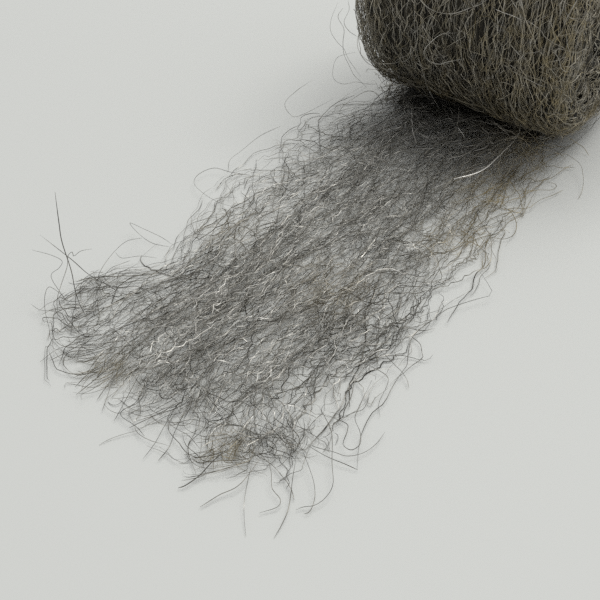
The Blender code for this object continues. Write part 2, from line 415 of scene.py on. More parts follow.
def add_strands(name, rng, paths, width, shade, rust, twist=1.0):
    """One piece of many strands. paths is strands by points by three, in metres.

    shade and rust are given for each strand or each of its points. twist makes strands twist less.
    """
    count, points, _ = paths.shape
    tangents = unit(np.gradient(paths, axis=1))
    sides = carried_sides(tangents)
    ups = np.cross(tangents, sides)
    length = np.linalg.norm(np.diff(paths, axis=1), axis=-1).sum(1)
    share = np.linspace(0, 1, points)[None, :]
    start = rng.uniform(0, math.tau, (count, 1))
    turn = twist * (start + share * length[:, None] * rng.normal(0, TWIST, (count, 1)))
    taper = np.minimum(1, END_WIDTH + TAPER * np.minimum(share, 1 - share))
    half = (np.broadcast_to(width, (count,))[:, None] / 2 * taper)[..., None]
    rings = []
    for across, high in SECTION:
        a = (across * np.cos(turn) - high * np.sin(turn))[..., None]
        b = (across * np.sin(turn) + high * np.cos(turn))[..., None]
        rings.append(paths + half * (a * sides + b * ups))
    points_3d = np.stack(rings, 2)
    points_3d[..., 2] = np.maximum(points_3d[..., 2], CLEAR_OF_TABLE)
    mesh = bpy.data.meshes.new(name)
    mesh.from_pydata(points_3d.reshape(-1, 3), [], strand_faces(count, points))
    for title, values in (("shade", shade), ("rust", rust)):
        values = np.broadcast_to(np.asarray(values, float), (count, points))
        attribute = mesh.attributes.new(title, "FLOAT", "POINT")
        attribute.data.foreach_set("value", np.repeat(values.ravel(), 3).astype(np.float32))
    return add_piece(name, mesh, strand_steel, length.sum())


print("a strand of 20 points has", len(strand_faces(1, 20)), "faces")

# %% [markdown]
# ## How a strand wanders
# Shaved steel keeps a crimp from the blade: a wave every 4 to 14 mm. On top of that it drifts slowly to
# the left and right, and a few strands curl. So a strand's heading is a slow wave, a short wave and a
# steady bend added together, and its path is that heading walked step by step.

# %% Walk strands over a flat sheet
SLOW_WAVE = (45 * MM, 90 * MM)  # shortest and longest wave of the drift, and of the swing on top of it
SWING_WAVE = (20 * MM, 40 * MM)
# The next value paints flashes and dark spots along each strand, where its twisting sides catch and lose the
# light.
PAINTED_FLASH = 0.2  # how much a strand's tone varies from point to point
LIGHTEST = 0.87  # wool is nowhere lighter than this, apart from the listed wires


def walk(heading, step):
    """How far along and across strands get when each step follows their heading."""
    return np.cumsum(np.cos(heading) * step, 1), np.cumsum(np.sin(heading) * step, 1)


def wander(rng, count, points, step, drift, crimp, crimp_length, curl=0.0, heading=0.0):
    """Paths on a flat sheet, (along, across) in metres, each starting at nought.

    drift is how far a strand turns off in a slow wave, crimp how far in a short one, in radians, and
    curl how fast a few of them bend round. heading is the way that they set out.
    """
    step = step * rng.uniform(0.7, 1.3, (count, 1))
    walked = step * np.arange(points)[None, :]

    def wave(low, high):
        """A wave along each strand, of a length between two lengths and of any phase."""
        length = rng.uniform(low, high, (count, 1))
        return np.sin(math.tau * walked / length + rng.uniform(0, math.tau, (count, 1)))

    low, high = crimp_length
    size = crimp * rng.gamma(4, 0.25, (count, 1))
    # The third power leaves most strands nearly straight and gives a few a strong bend.
    bend = 0.4 * rng.normal(0, 1, (count, 1)) ** 3 * curl * walked
    heading = np.reshape(heading, (-1, 1)) + rng.normal(0, drift, (count, 1)) + bend
    heading = heading + drift * 0.8 * wave(*SLOW_WAVE) + drift * 0.5 * wave(*SWING_WAVE)
    heading = heading + size * (0.7 * wave(low, high) + 0.5 * wave(0.55 * low, 0.7 * high))
    along, across = walk(heading, step)
    return along - along[:, :1], across - across[:, :1]


def tones_with_painted_flashes(rng, shade, count, points):
    """How light each point is: the strand's own tone, with painted flashes from one crimp to the next."""
    tone = rng.normal(*shade, (count, 1)) + rng.normal(0, PAINTED_FLASH, (count, points))
    return np.clip(tone, 0, LIGHTEST)


def widths(rng, width, count):
    """Widths round a usual one: the blade shaves some strands twice as wide as others."""
    return width * np.clip(rng.gamma(8, 1 / 8, count), 0.5, 1.9)


def add_wool(name, rng, paths, width, shade, rust, dim=1):
    """One piece of strands that differ in width and tone.

    shade is the usual tone and its spread. dim, from 0 to 1, is painted shade on points that lie in shadow.
    """
    count, points, _ = paths.shape
    tone = dim * tones_with_painted_flashes(rng, shade, count, points)
    return add_strands(name, rng, paths, widths(rng, width, count), tone, rust)


def slow_wave(rng, count, points, waves):
    """A smooth random number from -1 to 1 along each strand: a slow swell and a smaller, faster one."""
    share = np.linspace(0, 1, points)[None, :]
    turn = rng.uniform(0, math.tau, (2, count, 1))
    swell = rng.uniform(0.5, 1.5, (count, 1)) * waves
    slow = np.sin(math.tau * swell * share + turn[0])
    return 0.65 * slow + 0.35 * np.sin(math.tau * 2.3 * swell * share + turn[1])


trial = wander(np.random.default_rng(1), 200, 30, 2 * MM, 0.2, 0.5, (4 * MM, 14 * MM))
print("200 trial strands reach, mm along and aside:", [round(abs(way).max() / MM) for way in trial])

# %% [markdown]
# ## Build the heart
# The heart is swept round the same spiral as the strands: one rounded section, carried from the middle of
# the roll out to the floor and a short way into the tail, where it thins to almost nothing.

# %% The heart of the roll
HEART_CLEARANCE = 1.1 * MM  # how deep the heart lies below the strands
HEART_SHORT = 2.6 * MM  # how much less it reaches to each side
HEART_STEP = 4 * MM  # from one section to the next
# Past the floor line the heart lies under the tail's strands as painted shade in the wedge.
HEART_TAIL = 22 * MM  # how far it runs on past the floor line
HEART_TAIL_STEPS = 10
HEART_TAPER = 12 * MM  # how much narrower it gets there, on each side
HEART_POINTS = 28  # round one section


def heart_ring(angle, distance):
    """One closed section of the heart. Past the floor line, the angle is nought and distance counts."""
    turn = np.arange(HEART_POINTS) * math.tau / HEART_POINTS
    c, s = np.cos(turn), np.sin(turn)
    fade = max(0.0, 1 - distance / HEART_TAIL) ** 0.7 * min(1, 0.2 + 0.8 * angle / LEAVING_ANGLE)
    half = HALF_WIDTH - HEART_SHORT - HEART_TAPER * (1 - fade)
    x = np.sign(c) * abs(c) ** 0.3 * half  # powers below one make the oval squarer
    thick = (TURN_THICKNESS / 2 - HEART_CLEARANCE / 2) * (0.12 + 0.88 * fade)
    high = np.sign(s) * abs(s) ** 0.6 * thick
    middle = turn_reach(angle) - HEART_CLEARANCE - thick
    drop = SHOULDER_DROP * abs(x / half) ** 6 * middle / ROLL_RADIUS * min(1, angle / LEAVING_ANGLE)
    ring = wound(np.full(HEART_POINTS, angle), x, middle - drop + high)
    ring[:, 1] -= distance
    return ring


def make_heart():
    """The dark ribbon, from the middle of the roll outwards. Its map is in metres along and across."""
    angles = [math.tau * TURNS]
    while angles[-1] > 0:
        angles.append(max(0.0, angles[-1] - HEART_STEP / turn_reach(angles[-1])))
    rings = [heart_ring(angle, 0.0) for angle in angles]
    steps = range(1, HEART_TAIL_STEPS + 1)
    rings += [heart_ring(0.0, HEART_TAIL * i / HEART_TAIL_STEPS) for i in steps]
    rings = np.array(rings)
    count = len(rings)
    faces = []
    for i in range(count - 1):
        for j in range(HEART_POINTS):
            k = (j + 1) % HEART_POINTS
            corners = (i, j), (i, k), (i + 1, k), (i + 1, j)
            faces.append([a * HEART_POINTS + b for a, b in corners])
    faces.append(list(range(HEART_POINTS))[::-1])
    faces.append([(count - 1) * HEART_POINTS + j for j in range(HEART_POINTS)])
    mesh = bpy.data.meshes.new("packed_heart")
    mesh.from_pydata(rings.reshape(-1, 3), [], faces)
    mesh.shade_smooth()
    walked = np.concatenate(([0], np.linalg.norm(np.diff(rings.mean(1), axis=0), axis=1).cumsum()))
    flat = np.stack((np.repeat(walked, HEART_POINTS), rings[..., 0].ravel()), 1)
    corners = np.zeros(len(mesh.loops), int)
    mesh.loops.foreach_get("vertex_index", corners)
    layer = mesh.uv_layers.new(name="ribbon")
    layer.uv.foreach_set("vector", flat[corners].astype(np.float32).ravel())
    return add_piece("packed_heart", mesh, heart_painted_shade_steel, walked[-1])


make_heart()

# %% [markdown]
# ## Strands round the roll
# Wound under light tension, most strands of the outer turn run round the roll, and they cross each other
# at shallow angles. Where the roll's face turns over into its ends nothing holds them, so they lie in
# every direction there. The layer is a few millimetres deep, which gives the eye its shadows.

# %% Place strands on the roll's outside
SAG = 3.5 * MM  # how far the loose belly hangs out at the roll's lower front
SAG_ANGLE = 5.6  # where it hangs out most, in radians wound back from the floor
SAG_SPREAD = 0.5
RUN_ON = 0.45  # how far past the floor line, as an angle, the roll's strands run into the tail at most
# The foot is the roll's lowest part. Its darker tone is painted shade, for the light that doesn't reach it.
DARKEST_FOOT_SIDE, LIGHTEST_FOOT_SIDE = -5 * MM, 35 * MM  # from here to there across the roll, the foot gets lighter
DARKEST_FOOT_TONE, LIGHTEST_FOOT_TONE = 0.1, 0.45  # how light the foot is there, as a share of the usual tone
FOOT_LOW, FOOT_HIGH = 10 * MM, 38 * MM  # heights between which the dark foot fades out
ROLL_CRIMP = (6 * MM, 14 * MM)
FIRST_START, LAST_START = -0.1, math.tau + 0.45  # angles between which strands start on the roll
LAST_ANGLE = math.tau + 0.5  # none gets further in than this


def hump(x, middle, spread):
    """One in the middle, and softly down to nought on both sides."""
    return np.exp(-(((x - middle) / spread) ** 2))


def belly(angle, x):
    """How far the loose wool hangs out. It hangs lowest at the right, where the winding is slack."""
    return SAG * np.clip(0.5 + x / HALF_WIDTH, 0, 1) * hump(angle, SAG_ANGLE, SAG_SPREAD)


def on_roll(angle, across, lift):
    """Points on the outside of the roll. Across is measured over the shoulder and down the end."""
    past_floor_line = np.minimum(angle, 0)  # here the last turn runs on flat into the tail
    angle = np.maximum(angle, 0)
    side = np.sign(across)
    across = abs(across)
    level = HALF_WIDTH - SHOULDER
    over = np.clip((across - level) / SHOULDER, 0, math.pi / 2)
    down = np.clip(across - level - SHOULDER * math.pi / 2, 0, None)
    x = np.minimum(across, level) + (SHOULDER + lift) * np.sin(over)
    reach = turn_reach(angle) - SHOULDER + (SHOULDER + lift) * np.cos(over) - down
    places = wound(angle, side * x, reach + belly(angle, side * x))
    places[..., 1] += ROLL_RADIUS * past_floor_line
    return places


def painted_shade_low_on_roll(paths):
    """Painted shade on the roll's underside: the tone drops towards the table, less so at the right."""
    least = np.interp(paths[..., 0], (DARKEST_FOOT_SIDE, LIGHTEST_FOOT_SIDE), (DARKEST_FOOT_TONE, LIGHTEST_FOOT_TONE))
    return least + (1 - least) * np.interp(paths[..., 2], (FOOT_LOW, FOOT_HIGH), (0, 1))


def roll_strands(name, seed, count, points, step, depth, width, shade):
    """Strands that run round the roll, in a layer from depth[0] to depth[1] above its nominal face."""
    rng = np.random.default_rng(seed)
    along, across = wander(rng, count, points, step, 0.2, 0.45, ROLL_CRIMP, curl=4)
    span = HALF_WIDTH + 1 * MM
    start = rng.uniform(-span, span, (count, 1))
    middle = start + across - across.mean(1, keepdims=True)
    angle = rng.uniform(FIRST_START, LAST_START, (count, 1)) + along / ROLL_RADIUS
    angle = np.minimum(angle - along.max(1, keepdims=True) / ROLL_RADIUS / 2, LAST_ANGLE)
    # Past the floor line, a strand's end is drawn in so that it runs on no further than RUN_ON.
    angle = np.where(angle < 0, RUN_ON * (np.exp(angle / RUN_ON) - 1), angle)
    lift = rng.uniform(*depth, (count, 1)) + 0.5 * MM * slow_wave(rng, count, points, 2)
    paths = on_roll(angle, middle, lift)
    # The roll is browner towards its right end, with rust, and a little lighter there by painted light.
    rust = 0.5 + 0.45 * np.clip(paths[..., 0] / HALF_WIDTH, 0, 1)
    usual = shade[0] + 0.08 * start / HALF_WIDTH
    add_wool(name, rng, paths, width, (usual, shade[1]), rust, painted_shade_low_on_roll(paths))


# The deep layer's darker tone is painted shade, on top of the shadow that the outer strands really cast.
roll_strands("roll_strands_deep", 11, 1080, 22, 4.2 * MM, (-2.6 * MM, -0.9 * MM), 0.34 * MM, (0.43, 0.15))
roll_strands("roll_strands_outer", 12, 1250, 25, 3.2 * MM, (-1.2 * MM, 0.6 * MM), 0.26 * MM, (0.63, 0.24))

# %% [markdown]
# ## The ends of the roll
# On the ends one sees the edges of the turns: soft, rounded ridges of cut-off loops, with a dark line
# where one turn meets the next. The strands there mostly follow the spiral, and the rest cross from turn
# to turn and blur it.

# %% Strands on the edges of the turns
EDGE_BULGE = 2.4 * MM  # how far the middle of a turn's edge stands out from the lines between turns
EDGE_CRIMP = (5 * MM, 11 * MM)
TIGHTEST = 8 * MM  # strands closer to the axis bend as if they were this far from it
LEAST_REACH = 1 * MM  # strands come no closer to the axis than this


def turn_edges(name, seed, side, count, points, step, width, shade):
    """Strands on one end of the roll. side is -1 for the left end and 1 for the right."""
    rng = np.random.default_rng(seed)
    along, across = wander(rng, count, points, step, 0.5, 0.7, EDGE_CRIMP, curl=25)
    # An even spread over the end's area puts more strands on the long outer turns.
    angle = math.tau * TURNS * (1 - np.sqrt(rng.uniform(0.01, 1, (count, 1))))
    inward = rng.uniform(0.5 * MM, TURN_THICKNESS, (count, 1)) + across - across.mean(1, keepdims=True)
    inward = np.where(inward < 0, inward * 0.2, inward)
    local = np.maximum(turn_reach(angle) - inward, TIGHTEST)
    angle = angle + along / local
    reach = np.maximum(turn_reach(angle) - inward, LEAST_REACH)
    phase = np.mod(inward, TURN_PITCH) / TURN_PITCH
    ridge = EDGE_BULGE * (np.sin(math.pi * phase) - 1)
    shoulder = np.clip((reach - turn_reach(np.mod(angle, math.tau)) + SHOULDER) / SHOULDER, 0, 1)
    curve = (SHOULDER - 2 * MM) * (1 - np.sqrt(1 - np.minimum(shoulder, 0.98) ** 2))
    stray = rng.normal(0, 0.7 * MM, (count, 1)) + 0.6 * MM * slow_wave(rng, count, points, 2)
    x = side * (HALF_WIDTH + ridge - curve + stray)
    rust = 0.6 if side > 0 else 0.35  # the right end is the browner one
    paths = wound(angle, x, reach)
    add_wool(name, rng, paths, width, shade, rust)


# The right end's lighter tone is painted light. Its brown comes from rust.
turn_edges("turn_edges_left", 21, -1, 560, 19, 2.6 * MM, 0.3 * MM, (0.5, 0.15))
turn_edges("turn_edges_right", 22, 1, 600, 19, 2.4 * MM, 0.28 * MM, (0.68, 0.15))

# %% [markdown]
# ## Fuzz on the roll
# Springy strands that the winding didn't catch stand out of the roll in low arches and loops. They draw
# the fine fringe that is seen against the pale table.

# %% Arches and loops that stand out of the roll
FUZZ_CRIMP = (8 * MM, 20 * MM)
FUZZ_ROOT = -0.8 * MM  # loops start this deep in the wool
MOST_FUZZ = 9 * MM  # no loop stands out further
LOOSE_SHARE = 0.35  # share of the strands that have a free end


def roll_fuzz(name, seed, count, points, step, height, width, shade):
    """Strands that leave the roll in low arches, or with one free end. height is a usual one."""
    rng = np.random.default_rng(seed)
    heading = rng.uniform(-1.4, 1.4, count)
    along, across = wander(rng, count, points, step, 0.3, 0.3, FUZZ_CRIMP, curl=45, heading=heading)
    start = rng.uniform(-1, 1, (count, 1))
    # The power below one gives the shoulders more fuzz than the middle.
    start = np.sign(start) * abs(start) ** 0.6 * (HALF_WIDTH + 8 * MM)
    angle = rng.uniform(0.3, math.tau + 0.2, (count, 1)) + along / ROLL_RADIUS
    share = np.linspace(0, 1, points)[None, :]
    loose = rng.uniform(0, 1, (count, 1)) < LOOSE_SHARE
    arch = np.where(loose, share**1.5, np.sin(math.pi * share))
    lift = FUZZ_ROOT + arch * rng.gamma(2, height / 2, (count, 1))
    paths = on_roll(angle, start + across, np.minimum(lift, MOST_FUZZ))
    add_wool(name, rng, paths, width, shade, 0.3, painted_shade_low_on_roll(paths))


roll_fuzz("roll_fuzz", 31, 640, 22, 1.5 * MM, 2.4 * MM, 0.24 * MM, (0.46, 0.16))

# %% [markdown]
# ## The tail
# Pulled flat, the ribbon opens up, and one sees the table between the strands. They run lengthwise and
# almost straight, because the pull lined them up, but each keeps its crimp, and the crimps hook into each
# other and hold the layer together. The wool is thickest left of the middle and thins out towards both
# edges. Only strands near an edge follow its shape.

# %% Place strands on the tail
TAIL_CRIMP = (4 * MM, 9 * MM)
# Where the wool lies thickest: place across the tail, spread, and share of the strands
BUNDLES = (
    (-21 * MM, 4 * MM, 0.10),
    (-27 * MM, 11 * MM, 0.23),
    (3 * MM, 14 * MM, 0.45),
    (25 * MM, 8 * MM, 0.105),
    (-40 * MM, 6 * MM, 0.025),
    (38 * MM, 5 * MM, 0.012),
)
MEAN_MIDDLE = (LEFT_EDGE.mean() + RIGHT_EDGE.mean()) / 2
MEAN_HALF = (RIGHT_EDGE.mean() - LEFT_EDGE.mean()) / 2
MOST_OUT = 9 * MM  # no stray stands further out of an edge
MOST_OUT_OF_TEAR = 18 * MM
SHORT_PLACE, SHORT_SPREAD = -38 * MM, 10 * MM  # here the wool stops short of the solid's torn end
LONG_PLACE, LONG_SPREAD = 24 * MM, 12 * MM  # and here it sticks out furthest
BROKEN_BACK = 3 * MM  # how far back from the tear the strands usually broke in the middle,
BACK_AT_EDGES = 16 * MM  # how much further back at the edges,
BACK_AT_LONG_PLACE = 9 * MM  # and where the wool sticks out furthest
TAIL_ROOT = 10 * MM  # how far past the floor line, under the roll, strands may start
FOLLOW = 0.85  # how closely strands at an edge follow its shape
LEAST_HEIGHT = 0.2 * MM
MARGIN_WIDER, MARGIN_DARKER = 0.3, 0.13  # what strands at the edges add to their width and lose in tone
# Rusty patches: place across, place along, radius and how rusty. They are the two torn corners, three
# along the right edge by the roll, and two faint ones.
RUST_PATCHES = (
    (-24 * MM, -236 * MM, 8 * MM, 0.5),
    (27 * MM, -239 * MM, 7 * MM, 0.55),
    (39 * MM, -70 * MM, 20 * MM, 1.0),
    (38 * MM, -30 * MM, 20 * MM, 1.0),
    (38 * MM, -110 * MM, 14 * MM, 0.8),
    (13 * MM, -161 * MM, 14 * MM, 0.35),
    (-43 * MM, -150 * MM, 14 * MM, 0.25),
)
RUST_EVERYWHERE = 0.06
# The wedge's dark tone on the tail is painted shade, under the roll's overhang.
SHADED_UNTIL, LIT_FROM = 16 * MM, 44 * MM  # out from the axis: between them the dark wedge fades out
SHADED_TONE = 0.35  # how light the wedge is, as a share of the usual tone
WEDGE_SHADE_SHORTER_FROM = 4 * MM  # from here to the right, it fades out sooner


def drawn_in(past, most):
    """A distance past an edge, drawn in so that it stays below the most that it may be."""
    return np.where(past > 0, most * (1 - np.exp(-np.maximum(past, 0) / most)), past)


def tear_at(x):
    """How far out the wool was torn off."""
    tear = np.interp(x, tear_places, TEAR) - 7 * MM * hump(x, SHORT_PLACE, SHORT_SPREAD)
    return tear + 5 * MM * hump(x, LONG_PLACE, LONG_SPREAD)


def painted_wedge_shade(paths):
    """Painted shade by the roll: the tone drops close to the roll, less so towards the right side."""
    distance = -paths[..., 1] + np.maximum(0, paths[..., 0] - WEDGE_SHADE_SHORTER_FROM)
    return np.interp(distance, (SHADED_UNTIL, LIT_FROM), (SHADED_TONE, 1))


def on_tail(distance, x, lift):
    """Points on the tail. Lift is a share of the loft, and x is measured as if both edges were straight."""
    middle, half = tail_sides(distance)
    share = (x - MEAN_MIDDLE) / MEAN_HALF
    follow = FOLLOW * np.minimum(1, share**2)
    x = x + follow * (middle - MEAN_MIDDLE + share * (half - MEAN_HALF))
    x = middle + np.sign(x - middle) * (half + drawn_in(abs(x - middle) - half, MOST_OUT))
    distance = tear_at(x) + drawn_in(distance - tear_at(x), MOST_OUT_OF_TEAR)
    z = LEAST_HEIGHT + np.maximum(0, lift) * loft_at(distance, x)
    return np.stack((x, -distance, z), -1)


def rust_on_tail(paths):
    """How rusty each point is, by how far it lies from each rusty patch."""
    amount = RUST_EVERYWHERE * np.ones(paths.shape[:2])
    for x, y, size, most in RUST_PATCHES:
        gap = np.hypot(paths[..., 0] - x, paths[..., 1] - y) / size
        amount = amount + most * np.exp(-(gap**2))
    return np.clip(amount, 0, 1)


def tail_strands(name, seed, count, points, step, layer, width, shade, way, crimp):
    """Strands that run along the tail, between two shares of its height that layer gives.

    way is how far they turn off the tail's direction, and how tightly they curl.
    """
    rng = np.random.default_rng(seed)
    along, across = wander(rng, count, points, step, way[0], crimp, TAIL_CRIMP, curl=way[1])
    places, spreads, shares = np.array(BUNDLES).T
    which = rng.choice(len(BUNDLES), count, p=shares / shares.sum())
    place = rng.normal(places[which], spreads[which])[:, None]
    length = along.max(1, keepdims=True)
    far = (TEAR.max() + TAIL_ROOT) * rng.uniform(0, 1, (count, 1)) ** 0.94 - TAIL_ROOT + length / 2
    # Every strand that would cross the tear broke near it, and further back the nearer it lay to an edge.
    at_edges = ((place - MEAN_MIDDLE) / MEAN_HALF) ** 4
    shortfall = BROKEN_BACK + BACK_AT_EDGES * at_edges
    shortfall = shortfall + BACK_AT_LONG_PLACE * hump(place, LONG_PLACE, LONG_SPREAD)
    tear = tear_at(place) + 2 * MM - rng.exponential(1, (count, 1)) * shortfall
    distance = np.maximum(np.minimum(far, tear) - length + along, -2 * MM)
    x = place + across - across.mean(1, keepdims=True)
    lift = rng.uniform(*layer, (count, 1)) + 0.14 * slow_wave(rng, count, points, 2)
    paths = on_tail(distance, x, lift)
    # At the margins a strand stands alone before the pale table and looks dark and thick.
    margin = np.minimum(1, abs(place - MEAN_MIDDLE) / MEAN_HALF) ** 2
    width = width * (1 + MARGIN_WIDER * margin[:, 0])
    usual = (shade[0] - MARGIN_DARKER * margin, shade[1])
    add_wool(name, rng, paths, width, usual, rust_on_tail(paths), painted_wedge_shade(paths))


STRAIGHT = (0.16, 6)  # the way of strands that the pull lined up
ASTRAY = (0.65, 25)  # and of strands that lie across them
# The low layer's darker tone is painted shade, on top of the shadow that the upper strands really cast.
tail_strands(
    "tail_strands_low", 41, 420, 34, 2.0 * MM, (0.0, 0.45), 0.26 * MM, (0.54, 0.22), STRAIGHT, 0.5
)
tail_strands(
    "tail_strands_high", 42, 430, 34, 2.0 * MM, (0.4, 0.95), 0.25 * MM, (0.65, 0.24), STRAIGHT, 0.55
)
tail_strands(
    "tail_strands_loose", 43, 670, 24, 1.7 * MM, (0.1, 1.0), 0.22 * MM, (0.6, 0.24), ASTRAY, 0.65
)

# %% [markdown]
# ## Strands out of the wedge
# A dark wedge lies between the roll and the tail. Fine strands come out of it in every direction and
# catch the light just in front of it. They cross the tail's own strands, so they are a piece of their own.

# %% Strands that fan out of the wedge between roll and tail
FAN_FROM, FAN_TO = 14 * MM, 34 * MM  # out from the axis: between them the fan's strands come up
FAN_LEFT, FAN_RIGHT = -36 * MM, 34 * MM


def wedge_fan(name, seed, count, points, step, width, shade):
    """Strands that leave the dark wedge under the roll and run out over the tail, in every direction."""
    rng = np.random.default_rng(seed)
    heading = rng.normal(0, 0.6, count)
    along, across = wander(rng, count, points, step, 0.15, 0.3, TAIL_CRIMP, curl=12, heading=heading)
    start = rng.uniform(FAN_FROM, FAN_TO, (count, 1))
    place = rng.uniform(FAN_LEFT, FAN_RIGHT, (count, 1))
    share = np.linspace(0, 1, points)[None, :]
    lift = rng.uniform(0.5, 1.3, (count, 1))
    lift = lift + 0.3 * np.sin(math.pi * share) * rng.uniform(0, 1, (count, 1))
    paths = on_tail(start + along, place + across, lift)
    add_wool(name, rng, paths, width, shade, rust_on_tail(paths), painted_wedge_shade(paths))


wedge_fan("wedge_fan", 44, 200, 20, 1.9 * MM, 0.19 * MM, (0.6, 0.2))

# %% [markdown]
# ## Curls along the edges and the tear
# Along both edges, loops spring out of the tail and back into it. At the tear the strands were pulled
# until they broke: some stand straight out, and others sprang back into curls.

# %% Loops that leave the tail and come back
FIRST_CURL = 30 * MM  # out from the axis
CURL_BEND = 24  # with the shape of the draw, 2.5, a usual bend of 60 radians per metre


def edge_curls(name, seed, side, count, points, step, width, shade):
    """Loops along one long edge. Each one leaves the tail, bends round and heads back."""
    rng = np.random.default_rng(seed)
    start = rng.uniform(FIRST_CURL, max(TEAR) - 4 * MM, (count, 1))
    outward = side * rng.uniform(0.2, 1.2, (count, 1))
    backward = rng.uniform(0, 1, (count, 1)) < 0.5
    bend = -side * rng.gamma(2.5, CURL_BEND, (count, 1))
    step = step * rng.uniform(0.6, 1.5, (count, 1))
    walked = step * np.arange(points)[None, :]
    size = rng.uniform(0.05, 0.4, (count, 1))
    heading = outward + bend * walked + size * np.sin(walked / (1.5 * MM) + 9 * outward)
    along, across = walk(heading, step)
    along = along * np.where(backward, -1, 1)
    edge = MEAN_MIDDLE + side * MEAN_HALF * rng.uniform(0.55, 0.95, (count, 1))
    arch = np.sin(math.pi * np.linspace(0, 1, points))[None, :] * rng.gamma(2, 0.25, (count, 1))
    paths = on_tail(start + along, edge + across, 0.25 + arch)
    add_wool(name, rng, paths, width, shade, rust_on_tail(paths))


edge_curls("edge_curls_left", 51, -1, 135, 26, 1.35 * MM, 0.2 * MM, (0.34, 0.14))
edge_curls("edge_curls_right", 52, 1, 150, 26, 1.35 * MM, 0.2 * MM, (0.34, 0.14))

# %% Broken ends and curls at the tear
# Groups of broken ends: place across the tear, spread, share of the ends, and how curly they are
TUFTS = (
    (-50 * MM, 7 * MM, 0.2, 0.7),
    (-27 * MM, 6 * MM, 0.22, 0.2),
    (2 * MM, 16 * MM, 0.28, 0.7),
    (26 * MM, 7 * MM, 0.15, 0.7),
    (34 * MM, 7 * MM, 0.1, 1.0),
)
END_BEND = 130  # how fast a curly end usually bends, in radians per metre
END_SWAY = 0.7  # how far it sways from side to side, in radians
END_ROOT = 16 * MM  # ends start up to this far back from the tear


def torn_end(name, seed, count, points, step, width, shade):
    """Strands that stand out of the tear in tufts, some tufts straight and others curly."""
    rng = np.random.default_rng(seed)
    places, spreads, shares, curls = np.array(TUFTS).T
    which = rng.choice(len(TUFTS), count, p=shares / shares.sum())
    place = rng.normal(places[which], spreads[which])[:, None]
    curly = curls[which][:, None]
    heading = 0.9 * (place - MEAN_MIDDLE) / MEAN_HALF + rng.normal(0, 0.55, (count, 1))
    step = step * rng.gamma(3, 0.27, (count, 1))
    walked = step * np.arange(points)[None, :]
    bend = rng.normal(0, 1, (count, 1)) * END_BEND * curly
    sway = END_SWAY * curly * np.sin(walked / (3 * MM) + rng.uniform(0, math.tau, (count, 1)))
    along, across = walk(heading + bend * walked + sway, step)
    start = tear_at(place) - rng.uniform(0, END_ROOT, (count, 1))
    rise = np.linspace(0, 1, points)[None, :] * rng.normal(0.1, 0.5, (count, 1))
    paths = on_tail(start + along, place + across, 0.5 + rise)
    add_wool(name, rng, paths, width, shade, rust_on_tail(paths))


torn_end("torn_end", 61, 400, 18, 0.85 * MM, 0.19 * MM, (0.34, 0.14))
